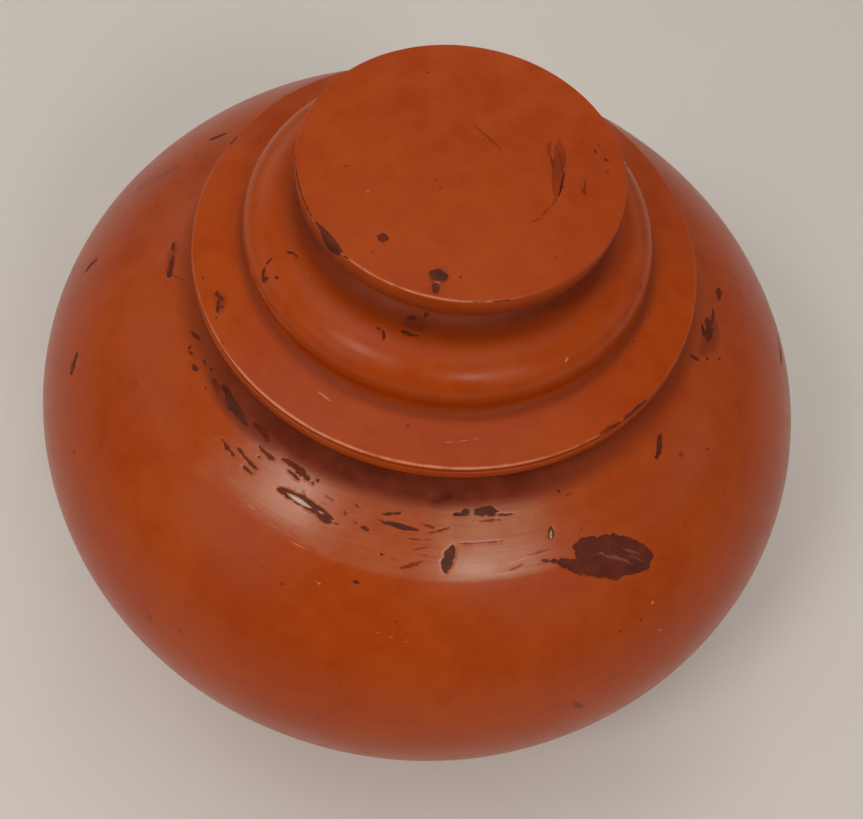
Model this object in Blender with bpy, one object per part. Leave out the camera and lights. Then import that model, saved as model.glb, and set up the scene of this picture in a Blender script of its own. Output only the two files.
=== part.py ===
"""Lidded lacquer jar: a squat round jar on a foot ring, with a lift-off lid that ends in a disc knob.

Every piece is turned about the Z axis. Metres, +Z up; the origin is the centre of the foot on the surface
that the jar stands on. Outlines are lists of (radius, height) points in the half-plane right of the axis.
"""
import math

import bmesh
import bpy

MM = 0.001
SEGMENTS = 48                 # facets round each turned piece
GAP = 0.3 * MM                # clear space between pieces that meet
CHAMFER = 0.5 * MM            # small broken edges

# Jar body: two half ellipses that meet at the widest circle
BELLY_RADIUS = 112 * MM
BELLY_HEIGHT = 77 * MM        # height of the widest circle
SHOULDER_RISE = 73.4 * MM     # semi-height of the upper ellipse
LOWER_DROP = 82 * MM          # semi-height of the lower ellipse
WALL = 4.5 * MM

# Foot and base
FOOT_HEIGHT = 6 * MM
FOOT_RADIUS = 51.5 * MM       # at the floor
FOOT_TOP_RADIUS = 54 * MM
FOOT_BORE = 46 * MM
BASE_RADIUS = 49 * MM
BASE_THICKNESS = 4 * MM

# Collar, neck and mouth
COLLAR_RADIUS = 80 * MM       # where the collar meets the shoulder
NECK_RADIUS = 57 * MM
NECK_BORE = 51.5 * MM
NECK_FOOT_RADIUS = 61.5 * MM  # where the shoulder turns up into the neck
RIM_RADIUS = 64.9 * MM
RIM_BORE = 49 * MM
RIM_THICKNESS = 2.7 * MM

# Lid
FLANGE_RADIUS = 64.7 * MM
FLANGE_EDGE = 1.4 * MM        # thickness at the thin outer edge
FLANGE_HEIGHT = 147.7 * MM    # top of the thin edge above the floor
FLANGE_CROWN = 2.2 * MM       # how far the flange rises towards the moulding
SPIGOT_RADIUS = 48.2 * MM
SPIGOT_BORE = 44.2 * MM
SPIGOT_DEPTH = 8 * MM
MOULDING_RADIUS = 51.4 * MM   # widest circle of the round moulding
MOULDING_TOP_RADIUS = 40 * MM
MOULDING_LIFT = 7.5 * MM      # from the flange's edge to the widest circle
MOULDING_RISE = 8.6 * MM      # from the widest circle to the crown
MOULDING_WALL = 3.8 * MM
MOULDING_SEAT = 52.6 * MM     # where the moulding's fillet meets the flange
HOLLOW_RADIUS = 5.9 * MM      # of the hollow curve under the knob
POST_RADIUS = 36.6 * MM
TENON_RADIUS = 23.7 * MM
DISC_RADIUS = 39.2 * MM
DISC_BASE_RADIUS = 38.9 * MM
DISC_THICKNESS = 6 * MM
KNOB_HEIGHT = 30.2 * MM       # top of the disc above the flange's edge

# Levels that follow from the sizes above
BASE_UNDERSIDE = FOOT_HEIGHT + GAP
BASE_TOP = BASE_UNDERSIDE + BASE_THICKNESS
FLANGE_UNDERSIDE = FLANGE_HEIGHT - FLANGE_EDGE
FLANGE_SEAT = FLANGE_HEIGHT + FLANGE_CROWN
RIM_TOP = FLANGE_UNDERSIDE - GAP
RIM_UNDERSIDE = RIM_TOP - RIM_THICKNESS
NECK_TOP = RIM_UNDERSIDE - GAP
MOULDING_HEIGHT = FLANGE_HEIGHT + MOULDING_LIFT
MOULDING_CROWN = MOULDING_HEIGHT + MOULDING_RISE
MOULDING_CEILING = MOULDING_CROWN - MOULDING_WALL
DISC_TOP = FLANGE_HEIGHT + KNOB_HEIGHT
DISC_UNDERSIDE = DISC_TOP - DISC_THICKNESS


def ellipse(centre, semi, start, end, steps):
    """Points of an ellipse stretch in the (radius, height) plane; angles in degrees from +radius."""
    angles = [math.radians(start + (end - start) * i / steps) for i in range(steps + 1)]
    return [(centre[0] + semi[0] * math.cos(a), centre[1] + semi[1] * math.sin(a)) for a in angles]


def angle_at_radius(radius, semi_radius):
    return math.degrees(math.acos(radius / semi_radius))


def angle_at_height(height, semi_height):
    return math.degrees(math.asin(height / semi_height))


def lacquer(name, color, roughness):
    material = bpy.data.materials.new(name)
    material.use_nodes = True
    shader = material.node_tree.nodes["Principled BSDF"]
    shader.inputs["Base Color"].default_value = (*color, 1.0)
    shader.inputs["Roughness"].default_value = roughness
    shader.inputs["Metallic"].default_value = 0.0
    return material


def orange_lacquer(name):
    return lacquer(name, (0.36, 0.062, 0.012), 0.32)


def dark_lacquer(name):
    return lacquer(name, (0.035, 0.016, 0.010), 0.45)


def turned(name, outline, material):
    """One closed body: the outline spun a full turn about the Z axis."""
    bm = bmesh.new()
    ring = [bm.verts.new((radius, 0.0, height)) for radius, height in outline]
    on_axis = outline[0][0] == 0.0 and outline[-1][0] == 0.0
    pairs = zip(ring, ring[1:] if on_axis else ring[1:] + ring[:1])
    edges = [bm.edges.new(pair) for pair in pairs]
    bmesh.ops.spin(bm, geom=ring + edges, cent=(0, 0, 0), axis=(0, 0, 1), angle=math.tau, steps=SEGMENTS,
                   use_merge=True)
    bmesh.ops.remove_doubles(bm, verts=bm.verts, dist=1e-6)
    bmesh.ops.recalc_face_normals(bm, faces=bm.faces)
    mesh = bpy.data.meshes.new(name)
    bm.to_mesh(mesh)
    bm.free()
    mesh.shade_smooth()
    mesh.set_sharp_from_angle(angle=math.radians(35))
    mesh.materials.append(material)
    piece = bpy.data.objects.new(name, mesh)
    bpy.context.collection.objects.link(piece)
    return piece


# ---------------------------------------------------------------- jar


def foot_ring():
    outline = [
        (FOOT_BORE, 0.0),
        (FOOT_RADIUS - CHAMFER, 0.0),
        (FOOT_RADIUS, CHAMFER),
        (FOOT_TOP_RADIUS, FOOT_HEIGHT),
        (FOOT_BORE, FOOT_HEIGHT),
    ]
    return turned("foot_ring", outline, orange_lacquer("foot_ring"))


def base_disc():
    outline = [(0.0, BASE_UNDERSIDE), (BASE_RADIUS, BASE_UNDERSIDE), (BASE_RADIUS, BASE_TOP), (0.0, BASE_TOP)]
    return turned("base_disc", outline, dark_lacquer("base_disc"))


def lower_shell():
    """Lower half of the belly, with a thickened ledge that holds the base."""
    centre = (0.0, BELLY_HEIGHT)
    joint_angle = angle_at_height(-GAP / 2, LOWER_DROP)
    foot_angle = angle_at_height(BASE_UNDERSIDE - BELLY_HEIGHT, LOWER_DROP)
    floor_angle = angle_at_height(BASE_TOP - BELLY_HEIGHT, LOWER_DROP - WALL)
    outer = ellipse(centre, (BELLY_RADIUS, LOWER_DROP), foot_angle, joint_angle, 9)
    inner = ellipse(centre, (BELLY_RADIUS - WALL, LOWER_DROP - WALL), joint_angle, floor_angle, 8)
    ledge = [(BASE_RADIUS + GAP, BASE_TOP), (BASE_RADIUS + GAP, BASE_UNDERSIDE)]
    return turned("lower_shell", outer + inner + ledge, orange_lacquer("lower_shell"))


def shoulder_outer(start_radius, end_radius, steps):
    """Outer surface of the shoulder between two radii."""
    start = angle_at_radius(start_radius, BELLY_RADIUS)
    end = angle_at_radius(end_radius, BELLY_RADIUS)
    return ellipse((0.0, BELLY_HEIGHT), (BELLY_RADIUS, SHOULDER_RISE), start, end, steps)


def shoulder_inner(start_radius, end_radius, steps):
    """Inner surface of the shoulder between two radii."""
    inner_radius = BELLY_RADIUS - WALL
    start = angle_at_radius(start_radius, inner_radius)
    end = angle_at_radius(end_radius, inner_radius)
    return ellipse((0.0, BELLY_HEIGHT), (inner_radius, SHOULDER_RISE - WALL), start, end, steps)


def upper_shell():
    joint_angle = angle_at_height(GAP / 2, SHOULDER_RISE)
    joint_radius = BELLY_RADIUS * math.cos(math.radians(joint_angle))
    inner_joint_radius = (BELLY_RADIUS - WALL) * math.cos(math.radians(joint_angle))
    outer = shoulder_outer(joint_radius, COLLAR_RADIUS, 8)
    inner = shoulder_inner(COLLAR_RADIUS - WALL / 2, inner_joint_radius, 7)
    return turned("upper_shell", outer + inner, orange_lacquer("upper_shell"))


def neck_ring():
    """Collar of the shoulder with the short hollow neck."""
    outer = shoulder_outer(COLLAR_RADIUS - GAP, NECK_FOOT_RADIUS, 4)
    foot_level = outer[-1][1]
    hollow_rise = (NECK_TOP - foot_level) / 2
    hollow = ellipse((NECK_FOOT_RADIUS, foot_level + hollow_rise), (NECK_FOOT_RADIUS - NECK_RADIUS, hollow_rise),
                     250, 110, 4)
    rim_seat = [(NECK_FOOT_RADIUS - 1 * MM, NECK_TOP), (NECK_BORE, NECK_TOP)]
    bore_foot_radius = NECK_BORE + WALL
    inner = shoulder_inner(bore_foot_radius, COLLAR_RADIUS - WALL / 2 - GAP, 4)
    bore = [(NECK_BORE, inner[0][1] + WALL / 2)]
    return turned("neck_ring", outer + hollow + rim_seat + bore + inner, orange_lacquer("neck_ring"))


def mouth_rim():
    outline = [
        (RIM_BORE, RIM_UNDERSIDE),
        (RIM_RADIUS - CHAMFER, RIM_UNDERSIDE),
        (RIM_RADIUS, RIM_UNDERSIDE + CHAMFER),
        (RIM_RADIUS, RIM_TOP - CHAMFER),
        (RIM_RADIUS - CHAMFER, RIM_TOP),
        (RIM_BORE + CHAMFER, RIM_TOP),
        (RIM_BORE, RIM_TOP - CHAMFER),
    ]
    return turned("mouth_rim", outline, orange_lacquer("mouth_rim"))


# ---------------------------------------------------------------- lid


def lid_flange():
    """Wide brim of the lid: a thin edge that rises gently to the moulding's seat."""
    edge_round = FLANGE_EDGE / 3
    outline = [
        (SPIGOT_BORE, FLANGE_UNDERSIDE),
        (FLANGE_RADIUS - edge_round, FLANGE_UNDERSIDE),
        (FLANGE_RADIUS, FLANGE_UNDERSIDE + edge_round),
        (FLANGE_RADIUS, FLANGE_HEIGHT - edge_round),
        (FLANGE_RADIUS - edge_round, FLANGE_HEIGHT),
        (MOULDING_SEAT + 3 * MM, FLANGE_SEAT - 0.4 * MM),
        (MOULDING_SEAT, FLANGE_SEAT),
        (SPIGOT_BORE, FLANGE_SEAT),
    ]
    return turned("lid_flange", outline, orange_lacquer("lid_flange"))


def lid_spigot():
    """Locating ring that drops into the mouth."""
    top = FLANGE_UNDERSIDE - GAP
    bottom = top - SPIGOT_DEPTH
    outline = [
        (SPIGOT_BORE, bottom),
        (SPIGOT_RADIUS - 2 * CHAMFER, bottom),
        (SPIGOT_RADIUS, bottom + 2 * CHAMFER),
        (SPIGOT_RADIUS, top),
        (SPIGOT_BORE, top),
    ]
    return turned("lid_spigot", outline, dark_lacquer("lid_spigot"))


def lid_moulding():
    """Round hollow moulding between the flange and the knob's post."""
    seat = FLANGE_SEAT + GAP
    centre = (MOULDING_TOP_RADIUS, MOULDING_HEIGHT)
    semi = (MOULDING_RADIUS - MOULDING_TOP_RADIUS, MOULDING_RISE)
    hollow_semi = (semi[0] - MOULDING_WALL, semi[1] - MOULDING_WALL)
    fillet = [(MOULDING_SEAT, seat), (MOULDING_RADIUS + 0.3 * MM, seat + 1 * MM)]
    outer = fillet + ellipse(centre, semi, -14, 90, 9)
    post_wall = [(POST_RADIUS + GAP, MOULDING_CROWN), (POST_RADIUS + GAP, MOULDING_CEILING)]
    inner = ellipse(centre, hollow_semi, 90, 0, 5)
    foot = [(centre[0] + hollow_semi[0], seat)]
    return turned("lid_moulding", outer + post_wall + inner + foot, orange_lacquer("lid_moulding"))


def lid_post():
    """Post of the knob: its hollow curve shows, and its tenon goes up through the disc."""
    centre = (MOULDING_TOP_RADIUS - 1 * MM, MOULDING_CROWN + HOLLOW_RADIUS)
    lower_angle = 360 - angle_at_radius(POST_RADIUS - centre[0], HOLLOW_RADIUS)
    upper_angle = 180 - angle_at_height(DISC_UNDERSIDE - GAP - centre[1], HOLLOW_RADIUS)
    hollow = ellipse(centre, (HOLLOW_RADIUS, HOLLOW_RADIUS), lower_angle, upper_angle, 7)
    outline = [(0.0, MOULDING_CEILING), (POST_RADIUS, MOULDING_CEILING)] + hollow
    tenon = [(TENON_RADIUS, DISC_UNDERSIDE - GAP), (TENON_RADIUS, DISC_TOP), (0.0, DISC_TOP)]
    return turned("lid_post", outline + tenon, orange_lacquer("lid_post"))


def lid_top_disc():
    """Ring-shaped top of the knob, fitted over the post's tenon."""
    bore = TENON_RADIUS + GAP
    outline = [
        (bore, DISC_UNDERSIDE),
        (DISC_BASE_RADIUS - CHAMFER, DISC_UNDERSIDE),
        (DISC_BASE_RADIUS, DISC_UNDERSIDE + CHAMFER),
        (DISC_RADIUS, DISC_TOP - 1.5 * CHAMFER),
        (DISC_RADIUS - CHAMFER, DISC_TOP),
        (bore, DISC_TOP),
    ]
    return turned("lid_top_disc", outline, orange_lacquer("lid_top_disc"))


for old_object in list(bpy.data.objects):
    bpy.data.objects.remove(old_object, do_unlink=True)

for make_piece in (foot_ring, base_disc, lower_shell, upper_shell, neck_ring, mouth_rim,
                   lid_flange, lid_spigot, lid_moulding, lid_post, lid_top_disc):
    make_piece()
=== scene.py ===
"""Looks of the lidded lacquer jar: turned surfaces, flaked lacquer, worn edges with painted highlights,
painted shade in the hollows, floor, lights and camera.

Every piece is an outline in the (radius, height) half-plane, turned about the Z axis. Outlines are in metres
and take their sizes from the frame. Flakes, scratches and smudges are placed by azimuth (degrees, -90 faces
the camera, 0 is +X) and by the distance along the surface in millimetres.
"""
import math

import bpy
import numpy as np
from mathutils import Euler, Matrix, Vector, noise


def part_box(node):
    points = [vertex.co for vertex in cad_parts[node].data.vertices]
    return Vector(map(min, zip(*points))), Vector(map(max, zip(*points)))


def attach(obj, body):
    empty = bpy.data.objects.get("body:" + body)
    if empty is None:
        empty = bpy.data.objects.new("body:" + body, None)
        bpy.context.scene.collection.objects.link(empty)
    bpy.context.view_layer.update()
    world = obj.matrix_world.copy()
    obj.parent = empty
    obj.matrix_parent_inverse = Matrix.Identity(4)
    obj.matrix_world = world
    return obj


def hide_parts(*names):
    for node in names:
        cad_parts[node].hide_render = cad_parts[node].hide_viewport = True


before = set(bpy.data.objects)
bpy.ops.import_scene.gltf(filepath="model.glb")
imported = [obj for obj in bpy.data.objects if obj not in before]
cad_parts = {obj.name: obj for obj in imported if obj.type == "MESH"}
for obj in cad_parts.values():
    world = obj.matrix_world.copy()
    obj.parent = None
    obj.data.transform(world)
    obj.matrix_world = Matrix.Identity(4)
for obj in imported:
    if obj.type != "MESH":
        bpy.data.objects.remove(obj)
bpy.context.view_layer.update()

MM = 0.001


# ---------------- sizes from the frame


def radius_of(node):
    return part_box(node)[1][0]


def top_of(node):
    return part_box(node)[1][2]


def underside_of(node):
    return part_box(node)[0][2]


GAP = 0.3 * MM  # clear space that the CAD pieces keep between them
WALL = 4.5 * MM
BELLY_RADIUS = radius_of("lower_shell")
BELLY_HEIGHT = (top_of("lower_shell") + underside_of("upper_shell")) / 2
LOWER_DROP = 82 * MM  # semi-height of the lower half ellipse
COLLAR_RADIUS = radius_of("neck_ring") + GAP / 2
SHOULDER_RISE = (top_of("upper_shell") - BELLY_HEIGHT) / math.sqrt(1 - (80 * MM / BELLY_RADIUS) ** 2)

FOOT_TOP_RADIUS = radius_of("foot_ring")
FOOT_RADIUS = FOOT_TOP_RADIUS - 2.5 * MM  # at the floor
FOOT_BORE = FOOT_TOP_RADIUS - 8 * MM
FOOT_HEIGHT = top_of("foot_ring")
BASE_RADIUS = radius_of("base_disc")
BASE_SEAT = BASE_RADIUS + GAP
BASE_UNDERSIDE = underside_of("base_disc")
BASE_TOP = top_of("base_disc")

RIM_RADIUS = radius_of("mouth_rim")
RIM_TOP = top_of("mouth_rim")
RIM_UNDERSIDE = underside_of("mouth_rim")
RIM_BORE = 49 * MM
NECK_RADIUS = 57 * MM
NECK_BORE = 51.5 * MM
NECK_FOOT_RADIUS = 61.5 * MM  # where the shoulder turns up into the neck

FLANGE_RADIUS = radius_of("lid_flange")
FLANGE_UNDERSIDE = underside_of("lid_flange")
FLANGE_HEIGHT = FLANGE_UNDERSIDE + 1.4 * MM  # top of the thin edge
FLANGE_SEAT = top_of("lid_flange")
SPIGOT_RADIUS = radius_of("lid_spigot")
SPIGOT_BORE = SPIGOT_RADIUS - 4 * MM
SPIGOT_BOTTOM = underside_of("lid_spigot")
MOULDING_SEAT = radius_of("lid_moulding")
MOULDING_RADIUS = MOULDING_SEAT - 1.2 * MM  # widest circle of the round moulding
MOULDING_TOP_RADIUS = 40 * MM
MOULDING_CROWN = top_of("lid_moulding")
MOULDING_RISE = 8.6 * MM
MOULDING_WALL = 3.8 * MM
MOULDING_CEILING = MOULDING_CROWN - MOULDING_WALL
MOULDING_HEIGHT = MOULDING_CROWN - MOULDING_RISE
HOLLOW_RADIUS = 5.9 * MM
POST_RADIUS = 36.6 * MM
TENON_RADIUS = 23.7 * MM
DISC_RADIUS = radius_of("lid_top_disc")
DISC_TOP = top_of("lid_top_disc")
DISC_UNDERSIDE = underside_of("lid_top_disc")


# ---------------- flakes, scratches and smudges

# Each mark is a lens between two ends: (azimuth, distance) of both ends, then its width in millimetres.
# On the jar, distance runs down the shoulder from the circle of 60 mm radius.

JAR_CHIPS = [
    # Row of flakes under the brim, from the left round to the front
    (-152.2, 8.9, -148.5, 7, 1), (-148.8, 9.7, -147.9, 11, 0.7), (-147.8, 11, -146.2, 10.2, 0.7),
    (-144.3, 11.4, -142.4, 10.8, 1.6), (-144, 8.3, -142.3, 8.4, 0.8), (-141.5, 7.6, -140.5, 7.8, 0.7),
    (-139.3, 8.8, -135.5, 9.1, 1.4), (-138.6, 11, -137.9, 11.8, 0.6), (-125.3, 7.7, -120, 8.5, 1.6),
    (-121.4, 8.1, -120.2, 9.2, 0.8), (-121, 11.2, -116.8, 11.5, 1.4), (-120.2, 13.2, -119.3, 13.4, 0.8),
    (-115.8, 10.3, -112.2, 9.8, 1.1), (-113.8, 9.7, -108.8, 11.3, 1.9), (-114.2, 11.7, -110, 12.8, 1.1),
    (-108.1, 11.6, -107.4, 11.8, 0.7), (-107.6, 10.4, -106.8, 10.6, 0.9), (-127.9, 16.2, -123.3, 16.9, 1.2),
    (-125.3, 14.8, -121.6, 15.6, 0.8), (-122.2, 15.4, -118.4, 16, 0.9), (-121.4, 17.3, -118.8, 17.5, 0.8),
    (-130.4, 16.3, -129.8, 16.6, 0.6), (-104.6, 18.2, -101.4, 18.5, 1.1), (-101.6, 18.4, -100.2, 18.3, 0.5),
    # Front, between the lifted flake and the large leaf
    (-93.3, 13.1, -90.9, 12.4, 0.9), (-91.6, 12.3, -89.6, 11.7, 0.8), (-96.6, 17.3, -94.7, 17.5, 0.9),
    (-97.8, 16.6, -97.2, 16.9, 0.5), (-71.6, 11.5, -67.6, 12, 0.8), (-84.2, 8.3, -80.3, 6.3, 1.4),
    (-90.4, 22.9, -88.3, 23.1, 0.5), (-92.2, 22.2, -91.5, 22.4, 0.8), (-93.9, 14.5, -90.6, 15, 0.7),
    (-95.6, 30.2, -94.1, 30.6, 1.5), (-79.2, 32.9, -78.7, 33.1, 0.7), (-106, 36.9, -105.4, 37.1, 0.8),
    # Right side
    (-57.9, 9.4, -57.2, 9.6, 0.9), (-35.2, 16, -30.6, 12, 1.9), (-41.4, 18.8, -40.8, 19.1, 0.9),
    (-24.7, 25.3, -24.1, 25.7, 0.9), (-10.1, 9, -9.7, 12.3, 1.2), (-3.9, 13.9, 1.8, 13.4, 3.4),
    (-3.6, 12.2, -0.6, 11.4, 1.3), (0.4, 14.8, 5.2, 15.6, 1.3), (8.4, 18, 11.7, 19.8, 2.4),
    (-176.3, 12.9, -173.8, 12.5, 1), (-172.6, 12.1, -166.9, 12.7, 1.9), (-6.4, 18.7, -5.8, 19.1, 1),
    (-8.3, 14.8, -7.7, 15.2, 0.9), (-53.7, 50.1, -53.3, 50.5, 0.8), (-50.1, 50.1, -49.7, 50.5, 0.8),
    (5.4, 52.2, 9.6, 54, 2),
    # Left side
    (-178.9, 42, -177.1, 48.2, 2), (-161.3, 46, -158.4, 50, 2.4), (-147.3, 55.8, -146.7, 56.2, 1),
    # Back, out of the camera's sight
    (141, 13, 148, 15.5, 2.6), (136.5, 9.5, 140.5, 10.5, 1.6), (131, 18.5, 133.5, 22.5, 2),
    (97, 10, 104.5, 11.6, 2.4), (90.5, 12.4, 94, 11.4, 1.2), (84, 26, 88.5, 31, 2.8),
    (61.5, 8.6, 64.5, 9.4, 1.5), (52, 14.5, 58.5, 16.8, 2.2), (44.5, 21, 45.5, 21.6, 1),
    (72, 58, 74.5, 62, 1.8), (118, 70, 121, 71.5, 1.8), (-170, 97, -164, 99, 2.4), (-58, 92, -55, 95, 1.6),
    (20, 88, 26, 91.5, 2.6), (100, 104, 104, 105, 2),
]

# Flakes that reach the grey priming under the ground coat
JAR_GREY_CHIPS = [
    (-136.3, 7.5, -125.6, 9.3, 2.3), (-133.6, 8, -128, 9.2, 2.4), (-78.1, 10.4, -76.4, 10.5, 2.1),
    (-80, 11, -77.2, 11.2, 0.9), (-75.5, 10.7, -70.8, 10.9, 2.6), (-75.3, 10, -71.2, 11.5, 1.7),
    (-93.4, 14.8, -85.6, 15.3, 1.3), (-80.9, 24.9, -79.6, 18.2, 3), (9, 52.4, 12, 54.4, 1.2),
    (86, 12.8, 90.5, 14.2, 1.9), (150, 20.5, 153, 24.5, 2.2),
]

# Places where only the top coat has gone, or where it has only just lifted
JAR_THIN_FLAKES = [
    (-167.2, 12, -164.8, 8, 0.6), (-99, 12.2, -97.8, 12.9, 0.8), (-88, 17.6, -82, 17.2, 0.5),
    (-86, 13.6, -83, 14.4, 0.9), (-82.8, 15.2, -80, 13.8, 0.8), (-85.4, 16, -82.6, 15.2, 0.7),
    (-70.6, 25.6, -67.2, 24.2, 0.9), (-88.6, 24.8, -84.6, 22.2, 1.1), (-86.6, 20, -83.8, 19, 0.7),
    (-66.6, 22.4, -62, 22, 0.6), (-77.6, 12.6, -68.6, 13.3, 0.8), (-79.2, 17.9, -69.6, 18.1, 0.7),
    (-111, 14.2, -109.4, 15.6, 0.5), (-110.4, 13.6, -107.6, 14.4, 0.4), (-106.4, 14.6, -102.6, 15.4, 0.5),
    (-57, 21.6, -55, 19.6, 0.4), (-108.9, 14.6, -107.8, 15.4, 0.9), (-105.9, 13, -101.8, 13.6, 0.8),
    (-85.9, 20.8, -82.4, 21.2, 0.6), (-57.6, 10.8, -54.8, 11.3, 0.6), (-30.5, 19.6, -29.6, 20.3, 1.2),
    (-61.6, 67.5, -59.8, 72.5, 2), (-27.3, 38, -26.6, 38.6, 0.8), (-157, 75, -155, 88, 1.2),
    (-122.6, 69.5, -121.4, 70.5, 1.6), (-117.5, 65.6, -116.5, 66.4, 1.2), (-148.4, 27.1, -147.6, 27.9, 1),
    (-100.2, 14.9, -99.4, 15.5, 1), (108, 24, 114, 25, 1.4), (66, 40, 67, 45, 1.2),
]

# Blurred grey-brown stains: the width is that of the soft edge
JAR_SMUDGES = [
    (-198.4, 26.2, -196, 32.5, 3.2), (-196.2, 32, -194.2, 40, 3.6), (-176, 12, -168, 13, 2.6),
    (-84.5, 8.4, -80, 6.4, 3), (-8, 12, 3, 16, 5), (-140, 9, -118, 9.5, 3), (70, 34, 78, 36, 5),
    (120, 14, 126, 19, 4),
]

# Fine scratches that show pale
JAR_SCRATCHES = [
    (-54.4, 27, -50.6, 32, 0.55), (-52.2, 28.6, -48.6, 34.8, 0.6), (-50.2, 28.8, -46.6, 33.6, 0.6),
    (-49, 31.6, -46.4, 36.2, 0.45), (-56.2, 27.4, -52.6, 28, 0.4), (-118, 23.6, -113, 24.4, 0.34),
    (-112, 24.8, -105, 25.2, 0.3), (-109, 26.2, -103, 26.6, 0.3), (-101, 33, -99.8, 33.4, 0.5),
    (-70, 23.6, -66, 22.8, 0.4), (-75, 25.9, -69, 25.7, 0.35), (-47.7, 47, -47.2, 47.5, 1.1),
    (-47.3, 56.8, -46.8, 57.3, 1), (-92, 41, -84, 43.5, 0.3), (-140, 52, -137, 58, 0.3),
    (40, 47, 49, 50, 0.35), (150, 62, 156, 60, 0.35),
]

# The large leaf-shaped flake right of the front: its outline, from the left tip over the top
LEAF_MIDDLE = (-54, 30)
LARGE_LEAF = [
    (-64.5, 24.1), (-61.5, 25), (-58, 26.6), (-58.7, 22.9), (-56.3, 22.3), (-54.8, 22.5), (-52.3, 23.8),
    (-50, 24.3), (-48.2, 27.1), (-45.9, 30.3), (-44.9, 33.3), (-44.7, 35.6), (-46.1, 38), (-48.2, 37.8),
    (-50.7, 36.1), (-52.4, 36.4), (-55.6, 33.2), (-58.6, 30.7), (-61.6, 26.7),
]

# Stretches that take a fine mesh: first, last, and how coarse the mesh may be (1 is finest)
LEAF_SPAN = (-65.5, -43.5, 1.0)
LEAF_LEVELS = (21.5, 39.0, 1.0)
LIFTED_SPAN = (-115.0, -100.0, 1.0)
ALL_ROUND = (-180, 180, 1.0)

# Flakes that have lifted but not fallen: the dark hole, and the curled glossy skin that stands in it, painted
# pale as a glint
LIFTED_FLAKES = [
    ((-113.9, 16.8, -101.4, 17.6, 2.7), (-111.9, 16.7, -105.6, 17.3, 1.6)),
    ((-105.4, 17.2, -103, 17.5, 1.2), (-104.9, 17.2, -103.4, 17.4, 0.8)),
    ((-61.7, 20.4, -61.1, 16.9, 2), (-61.8, 20.2, -61.3, 17.9, 1)),
]

# On the lid, distance runs up from the brim's edge, over the moulding to the knob's hollow.
LID_CHIPS = [
    (-152.8, 4.6, -151.2, 4.2, 1), (-151.8, 4.6, -149.4, 5.6, 1.2), (-150.4, 4.6, -146.6, 2.9, 1),
    (-148.6, 4.4, -147.6, 4.6, 0.9), (-146.4, 2.8, -145.6, 1.8, 0.5), (-158, 1.8, -156.6, 2.2, 0.6),
    (-148.2, 27.2, -147.4, 24.4, 0.8), (-147.8, 24.8, -144.6, 21.6, 1.1), (-144.9, 21.8, -143.7, 23.6, 1),
    (-142.6, 25.2, -141.5, 25.9, 0.9), (-147.6, 30.2, -146, 32, 0.8), (-146.3, 31.9, -143.9, 32, 0.8),
    (-105.6, 32.4, -103.8, 29.9, 0.9), (-107.4, 32.1, -106.4, 32.4, 0.9), (-100.6, 34, -96.4, 33.8, 1.1),
    (-97.4, 33.4, -93.2, 33.9, 0.7), (-98, 33, -96.8, 33.4, 0.7), (-100, 37.3, -96.6, 37.9, 0.9),
    (-94.4, 35.2, -94, 36.8, 0.7), (-94, 38.6, -92.8, 39.6, 1.1), (-48.5, 0.2, -41, -0.4, 1.5),
    (-41.5, -0.2, -33.6, -0.3, 1.6), (118, 21, 124, 24, 1.6), (70, 6, 76, 8, 1.4), (78, -0.2, 86, 0.2, 1.5),
    (158, -0.3, 163, 0.3, 1.4), (30, 24, 33, 28, 1.2),
]

LID_THIN_FLAKES = [
    (-136.6, 31.9, -134.8, 32.4, 0.8), (-92.4, 8.4, -91.4, 9.4, 1), (-144.6, 22, -143.4, 22.6, 1.2),
    (-17, 23, -12, 23.6, 0.8), (-30, 22.6, -20, 23.4, 0.6), (100, 12, 108, 12.6, 0.8),
]

LID_SMUDGES = [(-152, 4.4, -147, 4, 2.6), (-100, 35.8, -93, 36.4, 3.4)]

LID_SCRATCHES = [
    (-115.4, 8.5, -110.6, 8.1, 0.55), (-49.9, 23.6, -48.6, 24.6, 0.7), (-84, 6.2, -74, 7.4, 0.3),
    (60, 25, 66, 28, 0.3),
]

# On the flat top the two ends are (x, y) in millimetres from the axis.
TOP_CHIPS = [
    (30.3, 12.6, 31, 10.6, 0.6), (31.2, 13.8, 31.6, 13.4, 0.6), (32.3, 12.2, 32.7, 11.8, 0.6),
    (33, 9.8, 34, 9.1, 1.1), (-13, 27.3, -12.6, 27, 0.8), (-26.6, -6.7, -26.2, -6.9, 0.7),
    (3.8, -32.2, 4.2, -32.6, 0.7), (-15.7, -25.5, -13.5, -25.7, 2.2), (-14.5, -24.6, -14.7, -26.6, 2.2),
    (24, 4.6, 23.3, -4.4, 0.55), (20.2, 7.8, 21.6, 3.4, 0.5), (-1.1, -35.4, -0.8, -37.9, 1.7),
    (23.9, -1, 24.2, -1.6, 0.6),
]

TOP_GREY_CHIPS = [(-2.8, -32.7, 1, -32.9, 2.9), (-0.9, -31.5, -0.9, -34.3, 3)]

TOP_THIN_FLAKES = [
    (21.8, 13.2, 22.6, 1, 3.2), (22.2, 6, 22.8, -4.9, 2.2), (23.5, 4, 22.9, -5.4, 0.6),
    (19.6, 12.4, 19.9, 7.4, 1.3), (19.9, 8, 21.4, 2.8, 0.6), (27, 15.4, 27.6, 12.6, 0.4),
    (29, 2.8, 29.4, -2.4, 0.6), (28.4, -1, 29.6, -2, 0.9), (33.6, 6.4, 34.6, 4.6, 0.6),
    (22.9, -4.4, 21.9, -7.8, 0.8), (22, -7.4, 20, -11.6, 0.75), (20.2, -11.2, 17.4, -14, 0.6),
    (0.8, 12.8, 3.8, 10.4, 0.55), (3.6, 10.8, 7, 7.8, 0.7), (6, 9.4, 9.2, 5.2, 0.5),
    (24, -22, 24.4, -22.6, 0.7),
]

TOP_SMUDGES = [(-2.4, -33, 0.8, -33.4, 5)]

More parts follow.
